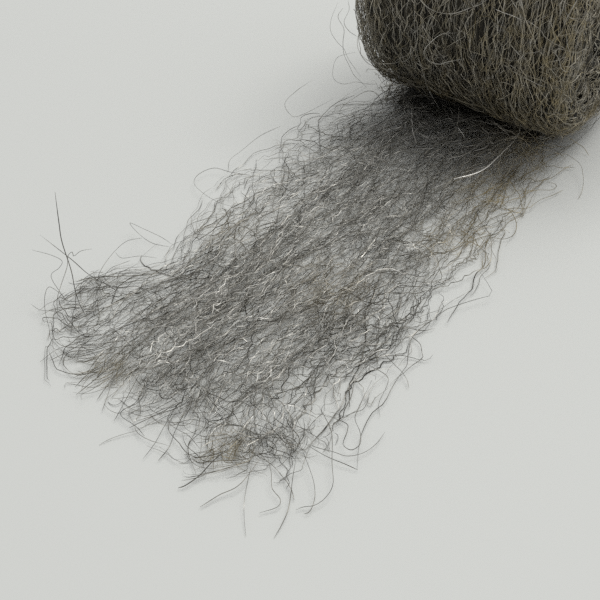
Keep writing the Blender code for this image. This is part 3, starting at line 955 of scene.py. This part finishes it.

# %% [markdown]
# ## Single wires that catch the eye
# Some wires stand clear of the rest, and they give this roll its face, so they are laid one by one.
# Each is given by the pixels of the photograph that it runs through, from its root in the wool to its
# tip, and by the height of its root and tip above the table. The camera's own rays then place it.

# %% Wires on the table and over it
# Each wire: width in mm, shade, heights of its root and of its tip in mm, and its pixels
STRAYS = {
    "crest_a": (0.22, 0.3, 3, 4, ((117, 272), (102, 283), (88, 291), (72, 296), (62, 303))),
    "crest_b": (0.17, 0.4, 3, 5, ((160, 265), (148, 268), (132, 270), (115, 273), (98, 279))),
    "crest_c": (0.22, 0.3, 3, 4, ((153, 270), (135, 277), (112, 286), (92, 288), (76, 291))),
    "crest_d": (0.22, 0.25, 3, 3, ((41, 315), (57, 308), (75, 309), (92, 304))),
    "crest_e": (0.2, 0.3, 3, 4, ((88, 302), (88, 293), (97, 287), (101, 295), (93, 301))),
    "tall_at_corner": (
        0.32, 0.1, 4, 33, ((88, 320), (80, 305), (75, 290), (71, 270), (62, 242), (59, 223), (55, 192)),
    ),
    "bent_at_corner": (
        0.26, 0.15, 3, 18, ((72, 308), (60, 292), (51, 276), (59, 268), (62, 261), (51, 255), (32, 250)),
    ),
    "slanting_at_corner": (0.28, 0.15, 4, 24, ((119, 292), (107, 285), (88, 274), (71, 259), (40, 235))),
    "hook_at_corner": (
        0.26, 0.15, 3, 14,
        ((58, 316), (57, 300), (61, 285), (67, 267), (68, 256), (72, 252), (74, 256), (81, 251), (92, 249)),
    ),
    "arc_over_edge": (
        0.22, 0.2, 3, 6, ((104, 299), (100, 290), (98, 279), (102, 268), (114, 252), (127, 241), (142, 238)),
    ),
    "hook_over_edge": (
        0.22, 0.2, 3, 8,
        ((173, 245), (161, 237), (144, 229), (130, 223), (138, 233), (152, 243), (170, 247)),
    ),
    "low_arc_over_edge": (0.2, 0.25, 3, 4, ((157, 258), (140, 256), (122, 258), (115, 252))),
    "short_at_corner": (0.2, 0.25, 3, 3, ((62, 309), (51, 310), (40, 310), (31, 304))),
    "loop_at_corner": (
        0.24, 0.2, 3, 5,
        ((62, 350), (51, 339), (49, 328), (45, 310), (45, 295), (49, 287), (57, 291), (66, 299)),
    ),
    "thick_spike": (0.3, 0.15, 3, 1, ((91, 341), (78, 346), (63, 354), (49, 361))),
    "spike_a": (0.26, 0.2, 3, 1, ((86, 340), (70, 345), (56, 350), (40, 362))),
    "spike_b": (0.26, 0.2, 3, 1, ((114, 357), (100, 366), (88, 371), (73, 378))),
    "spike_c": (0.26, 0.2, 3, 1, ((118, 362), (104, 372), (92, 382), (76, 395))),
    "spike_d": (0.26, 0.2, 3, 1, ((126, 364), (113, 378), (104, 390), (97, 400))),
    "long_on_table": (
        0.2, 0.5, 2, 0.3, ((176, 408), (152, 422), (138, 430), (124, 434), (110, 439), (99, 445)),
    ),
    "spike_e": (0.28, 0.15, 3, 1, ((141, 371), (132, 388), (122, 407), (114, 421))),
    "spike_f": (0.22, 0.25, 3, 1, ((178, 404), (165, 425), (155, 443), (143, 459))),
    "spike_g": (0.26, 0.2, 3, 1, ((188, 406), (176, 429), (169, 447), (158, 461))),
    "spike_h": (0.34, 0.2, 3, 1, ((240, 446), (222, 452), (208, 456), (193, 458))),
    "spike_i": (0.34, 0.25, 3, 1, ((228, 448), (212, 462), (200, 475), (186, 485), (178, 488))),
    "spike_j": (0.26, 0.15, 3, 1, ((113, 360), (100, 368), (87, 375), (75, 387))),
    "spike_k": (0.24, 0.2, 3, 1, ((123, 362), (113, 380), (107, 397), (102, 411))),
    "spike_l": (0.24, 0.2, 3, 1, ((149, 376), (142, 391), (137, 401))),
    "spike_m": (0.24, 0.2, 3, 1, ((190, 401), (174, 409), (156, 415), (137, 421))),
    "spike_n": (0.22, 0.25, 3, 1, ((177, 403), (160, 413), (141, 422), (129, 428))),
    "bent_on_table": (
        0.26, 0.2, 3, 1,
        ((480, 272), (492, 293), (473, 300), (447, 309), (437, 317), (420, 329), (411, 340), (408, 356),
         (407, 365), (402, 372), (393, 386), (384, 403), (372, 413), (363, 430), (359, 445), (357, 470)),
    ),
    "curl_a": (0.22, 0.25, 2, 1, ((362, 362), (380, 371), (388, 378), (386, 388), (379, 403), (380, 417))),
    "curl_b": (0.22, 0.25, 3, 1, ((380, 350), (396, 366), (402, 372), (407, 380), (409, 388))),
    "curl_c": (
        0.24, 0.2, 4, 1,
        ((372, 380), (358, 409), (355, 419), (360, 432), (360, 444), (351, 450), (343, 444), (347, 432),
         (347, 424), (334, 418), (322, 413)),
    ),
    "thick_curve": (
        0.24, 0.25, 3, 1,
        ((307, 444), (319, 448), (334, 452), (347, 456), (363, 453), (376, 444), (385, 432)),
    ),
    "curl_d": (0.24, 0.25, 3, 1, ((305, 444), (326, 456), (345, 464), (358, 470))),
    "drooping_loop": (
        0.26, 0.2, 4, 1,
        ((319, 407), (326, 419), (332, 434), (332, 463), (333, 484), (326, 497), (315, 505), (303, 507),
         (296, 510)),
    ),
    "drooping_hook": (
        0.24, 0.2, 3, 1, ((300, 444), (312, 476), (315, 493), (313, 505), (309, 512), (304, 514)),
    ),
    "curl_e": (0.22, 0.25, 3, 1, ((310, 446), (303, 465), (301, 470), (290, 474), (280, 481))),
    "long_drooping": (
        0.26, 0.35, 3, 0.5, ((297, 452), (293, 476), (291, 493), (288, 510), (281, 526), (274, 538)),
    ),
    "curl_f": (0.24, 0.25, 3, 1, ((266, 452), (271, 472), (272, 488), (280, 499), (277, 507), (259, 513))),
    "faint_drooping": (0.18, 0.55, 3, 0.5, ((252, 462), (245, 495), (244, 514), (246, 537))),
    "dark_arc": (0.26, 0.15, 6, 5, ((266, 411), (269, 424), (277, 434), (288, 444), (305, 443))),
    "soft_spike": (0.34, 0.45, 3, 1, ((262, 456), (240, 484), (219, 495), (200, 507))),
    "loop_by_roll": (
        0.2, 0.3, 16, 16, ((333, 99), (299, 116), (289, 113), (285, 103), (295, 92), (312, 80)),
    ),
    "arc_by_edge": (
        0.2, 0.3, 3, 3,
        ((243, 174), (230, 172), (214, 168), (199, 174), (194, 183), (203, 193), (218, 202), (237, 208)),
    ),
    "arc_above_edge": (0.2, 0.3, 3, 6, ((228, 172), (230, 160), (241, 151), (260, 136), (281, 126))),
    "bright_from_wedge": (0.36, 1.0, 18, 11, ((522, 113), (518, 135), (499, 156), (481, 171), (454, 179))),
    "bright_hook": (0.18, 0.8, 9, 7, ((454, 178), (463, 186), (468, 199))),
    "bright_pair_a": (0.3, 1.0, 10, 9, ((403, 104), (385, 123), (380, 129))),
    "bright_pair_b": (0.3, 1.0, 10, 9, ((406, 116), (390, 125), (381, 128))),
    "light_wire_a": (0.26, 0.85, 12, 9, ((491, 136), (468, 153), (448, 159))),
    "light_wire_b": (0.26, 0.85, 12, 9, ((483, 141), (469, 152), (456, 161))),
    "light_wire_c": (0.24, 0.8, 12, 9, ((420, 136), (443, 138), (466, 136))),
    "light_wire_d": (0.22, 0.7, 20, 9, ((459, 105), (458, 121), (451, 140))),
    "light_wire_e": (0.26, 0.8, 14, 10, ((433, 116), (422, 124), (413, 134), (405, 139), (399, 144))),
    "light_wire_f": (0.26, 0.8, 12, 9, ((495, 137), (486, 147), (474, 151))),
    "light_wire_g": (0.28, 0.85, 12, 9, ((505, 128), (495, 142), (483, 153), (472, 159))),
    "light_sweep": (
        0.26, 0.85, 12, 8,
        ((452, 142), (436, 145), (419, 151), (401, 153), (386, 161), (372, 167)),
    ),
    "light_hook": (0.24, 0.8, 14, 12, ((459, 122), (467, 122), (470, 128))),
}
# Rusty loops outside the right edge, close to the roll
DAMP_STRAYS = {
    "loop_a": (0.28, 0.2, 3, 1, ((520, 186), (534, 182), (551, 178), (566, 168), (576, 168))),
    "loop_b": (0.28, 0.2, 3, 1, ((530, 172), (544, 167), (553, 166), (563, 168), (574, 164))),
    "loop_c": (0.28, 0.2, 3, 1, ((524, 194), (537, 190), (551, 190), (556, 187), (555, 184), (547, 182))),
    "loop_d": (0.28, 0.2, 3, 1, ((503, 210), (515, 208), (528, 208), (540, 200), (553, 195), (563, 190))),
    "loop_e": (
        0.28, 0.2, 3, 1,
        ((500, 205), (511, 212), (516, 222), (516, 230), (512, 236), (503, 239), (491, 237)),
    ),
    "loop_f": (0.28, 0.2, 3, 1, ((488, 232), (491, 240), (491, 258), (488, 265), (483, 268), (482, 255))),
    "out_of_roll_a": (0.26, 0.2, 8, 0.5, ((566, 136), (577, 143), (584, 148), (589, 156))),
    "out_of_roll_b": (
        0.26, 0.2, 6, 0.5,
        ((560, 150), (579, 163), (583, 175), (583, 186), (581, 194), (578, 199)),
    ),
}
STRAY_POINTS = 36
STRAY_FLICKER = 0.06  # how much a wire's shade varies from point to point
LIGHT_SHADE = 0.6  # wires lighter than this keep a flat side to the sky
LIGHT_TWIST = 0.1  # so they twist only this much of the usual


def smooth_path(knots, count):
    """A smooth curve through the knots, as a Catmull-Rom spline."""
    knots = np.array(knots)
    knots = np.concatenate((2 * knots[:1] - knots[1:2], knots, 2 * knots[-1:] - knots[-2:-1]))
    place = np.linspace(0, len(knots) - 3, count)
    i = np.minimum(place.astype(int), len(knots) - 4)
    t = (place - i)[:, None]
    a, b, c, d = (knots[i + k] for k in range(4))
    return b + (c - a) * t / 2 + (a - 2.5 * b + 2 * c - d / 2) * t**2 + (1.5 * (b - c) + (d - a) / 2) * t**3


def stray_wires(name, seed, wires, place_wire, rust=0.1):
    """One piece of listed wires. place_wire puts the pixels of one wire in space."""
    rng = np.random.default_rng(seed)
    paths = np.array([smooth_path(place_wire(*wire[2:]), STRAY_POINTS) for wire in wires.values()])
    width = np.array([wire[0] for wire in wires.values()]) * MM
    shade = np.array([wire[1] for wire in wires.values()])[:, None]
    tone = np.clip(shade + rng.normal(0, STRAY_FLICKER, paths.shape[:2]), 0, 1)
    add_strands(name, rng, paths, width, tone, rust, np.where(shade > LIGHT_SHADE, LIGHT_TWIST, 1.0))


def over_table(root, tip, pixels):
    """Places a wire whose height over the table changes evenly from its root to its tip."""
    heights = np.linspace(root, tip, len(pixels)) * MM
    return [seen_at(pixel, height) for pixel, height in zip(pixels, heights)]


stray_wires("stray_wires", 71, STRAYS, over_table)
stray_wires("damp_wires", 73, DAMP_STRAYS, over_table, 0.9)

# %% [markdown]
# ## Wires on the roll
# These are laid in the same way, but the camera's rays are followed until they meet the roll's face. A
# wire may also pass the roll's outline, and then it is placed where its ray comes closest to the roll.

# %% Wires on the roll
# Each wire: width in mm, shade, height over the roll's face in mm, and its pixels
ROLL_WIRES = {
    "face_loop": (
        0.36, 1.0, 2.0,
        ((457, 33), (442, 34), (430, 43), (424, 52), (428, 60), (438, 64), (447, 62), (461, 59)),
    ),
    "loop_end": (0.2, 0.7, 1.0, ((446, 62), (453, 72), (460, 80))),
    "bright_at_top": (0.32, 1.0, 2.0, ((495, 9), (504, 13), (513, 16), (521, 20))),
    "long_down": (0.32, 1.0, 2.2, ((414, 0), (415, 32), (418, 56), (424, 76), (428, 89), (440, 110))),
    "short_hook": (0.26, 0.85, 1.8, ((395, 62), (405, 61), (410, 56), (411, 48))),
    "loop_at_left": (
        0.22, 0.3, 2.0,
        ((356, 52), (338, 57), (333, 69), (334, 79), (343, 84), (356, 82), (367, 84), (377, 84)),
    ),
    "arc_at_left": (0.2, 0.35, 2.0, ((348, 0), (349, 10), (344, 22), (349, 31), (358, 37))),
    "long_arc_at_left": (
        0.22, 0.3, 2.0,
        ((343, 8), (338, 17), (344, 29), (343, 42), (344, 54), (349, 65), (354, 75), (361, 82), (367, 88)),
    ),
    "wide_arc_at_left": (
        0.2, 0.35, 2.0,
        ((338, 2), (331, 20), (331, 32), (338, 43), (344, 49), (349, 60), (361, 77)),
    ),
}
RAY_STEP = 0.5 * MM


def on_face(lift, pixels):
    """Places a wire where the rays through its pixels meet the roll, or pass it closest."""
    places = []
    # Each ray is tried from half the camera's distance to twice that distance.
    for pixel in pixels:
        reach = np.arange(CAMERA_DISTANCE / 2, 2 * CAMERA_DISTANCE, RAY_STEP)[:, None]
        points = np.array(camera.location) + reach * np.array(ray_through(pixel))
        from_axis = np.hypot(points[:, 1], points[:, 2] - AXIS_HEIGHT)
        angle = np.mod(np.arctan2(points[:, 1], AXIS_HEIGHT - points[:, 2]), math.tau)
        above = np.maximum(from_axis - turn_reach(angle), abs(points[:, 0]) - HALF_WIDTH) - lift * MM
        nearest = np.argmax(above < 0) if (above < 0).any() else np.argmin(above)
        places.append(points[nearest])
    return places


stray_wires("roll_wires", 72, ROLL_WIRES, on_face)

# %% [markdown]
# ## Floor, light and sky
# A pale, plain table and one large soft lamp show the wool without hard shadows. The lamp and the sky
# together light a level white sheet to just about its own colour, so every colour above renders roughly
# as it is written.

# %% Table and lights
FLOOR_COLOUR = "#d3d4cf"
FLOOR_HALF = 3  # metres from the middle of the table to each side
LAMINATE_GRAIN = 20 / 3 * MM  # a soft mottling of the finish. The real, finer grain wouldn't show
LAMP_SIZE = 1.8  # metres, as are the lamp's aim and distance
LAMP_AIM = Vector((0, -0.1, 0))
LAMP_DISTANCE = 2.4
LAMP_DIRECTION = Vector((0.1, 0.3, 1.0)).normalized()  # nearly overhead, a little behind the roll
LAMP_POWER = 36.5
SKY_COLOUR = "#fbfcff"
SKY_STRENGTH = 0.5

floor_material, floor_tree = new_material("matt_pale_laminate")
# Unlinked, the noise runs from 0 to 1 over the whole table, so its scale is the grains in that width.
grain = add_node(floor_tree, "ShaderNodeTexNoise", Scale=2 * FLOOR_HALF / LAMINATE_GRAIN, Detail=2.0)
floor_rough = add_node(
    floor_tree, "ShaderNodeMapRange", Value=grain.outputs["Fac"], To_Min=0.55, To_Max=0.7
)
floor_shader = add_node(
    floor_tree, "ShaderNodeBsdfPrincipled", Base_Color=linear(FLOOR_COLOUR),
    Roughness=floor_rough.outputs[0], Specular_IOR_Level=0.2,
)
finish_material(floor_tree, floor_shader)
floor_mesh = bpy.data.meshes.new("floor")
floor_corners = [(x * FLOOR_HALF, y * FLOOR_HALF, 0) for x, y in ((-1, -1), (1, -1), (1, 1), (-1, 1))]
floor_mesh.from_pydata(floor_corners, [], [(0, 1, 2, 3)])
floor_mesh.materials.append(floor_material)
floor = bpy.data.objects.new("floor", floor_mesh)
bpy.context.scene.collection.objects.link(floor)

lamp = bpy.data.objects.new("softbox", bpy.data.lights.new("softbox", "AREA"))
bpy.context.scene.collection.objects.link(lamp)
lamp.data.size = LAMP_SIZE
lamp.data.energy = LAMP_POWER
lamp.location = LAMP_AIM + LAMP_DIRECTION * LAMP_DISTANCE
lamp.rotation_euler = LAMP_DIRECTION.to_track_quat("Z", "Y").to_euler()

world = bpy.data.worlds.new("studio")
bpy.context.scene.world = world
world.use_nodes = True
sky = world.node_tree.nodes["Background"]
sky.inputs["Color"].default_value = linear(SKY_COLOUR)
sky.inputs["Strength"].default_value = SKY_STRENGTH
bpy.context.scene.view_settings.view_transform = "Standard"
# Strands thinner than a pixel look like noise to the denoiser, which would wipe them out.
bpy.context.scene.cycles.use_denoising = False
print(f"table {2 * FLOOR_HALF} m wide, lamp {lamp.location.z:.2f} m up")
